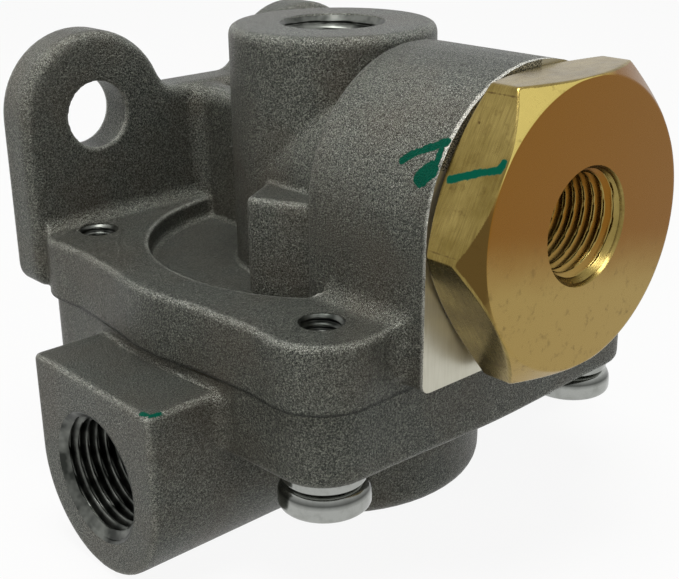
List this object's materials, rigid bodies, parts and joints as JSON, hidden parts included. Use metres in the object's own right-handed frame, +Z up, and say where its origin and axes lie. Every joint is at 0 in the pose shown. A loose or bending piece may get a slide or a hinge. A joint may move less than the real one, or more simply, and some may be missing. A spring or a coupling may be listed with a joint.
{
  "type": "quick exhaust valve",
  "caption": "Quick exhaust valve with a double check inlet: cast body and cover, brass hexagon cap, side delivery ports, bottom exhaust and a mounting plate with ears.",
  "frame": {"origin": "on the flat mounting face at the back, midway between the two mounting holes", "axes": "+Z up along the supply boss, +Y out of the back through the mounting face, so the brass cap faces -Y; the delivery ports face +X and -X"},
  "size_m": [0.084, 0.0779, 0.0667],
  "materials": {
    "cast_aluminium": "shot-blasted die casting",
    "brass": "machined, a little stained",
    "zinc_plated_steel": "bright zinc plate",
    "spring_steel": "drawn wire",
    "black_rubber": "moulded",
    "black_plastic": "moulded"
  },
  "bodies": {
    "housing": {"body": "cast_aluminium", "cap_nut": "brass", "cap_seal": "black_rubber", "check_guide": "black_plastic", "cover": "cast_aluminium", "cover_screw_1": "zinc_plated_steel", "cover_screw_2": "zinc_plated_steel", "cover_screw_3": "zinc_plated_steel", "cover_screw_4": "zinc_plated_steel", "cover_seal": "black_rubber", "diaphragm_spring": "spring_steel", "washer_1": "zinc_plated_steel", "washer_2": "zinc_plated_steel", "washer_3": "zinc_plated_steel", "washer_4": "zinc_plated_steel"},
    "diaphragm": {"diaphragm": "black_rubber", "spring_seat": "zinc_plated_steel"},
    "check": {"check_disc": "black_rubber"}
  },
  "joints": [
    {"name": "diaphragm_lift", "type": "slide", "parent": "housing", "child": "diaphragm", "axis": [0, 0, 1], "range_m": [0, 0.001], "stiffness_N_per_m": 120, "springref_m": -0.004, "deforming": ["diaphragm_spring"]},
    {"name": "check_shift", "type": "slide", "parent": "housing", "child": "check", "axis": [0, -1, 0], "range_m": [0, 0.002]}
  ]
}
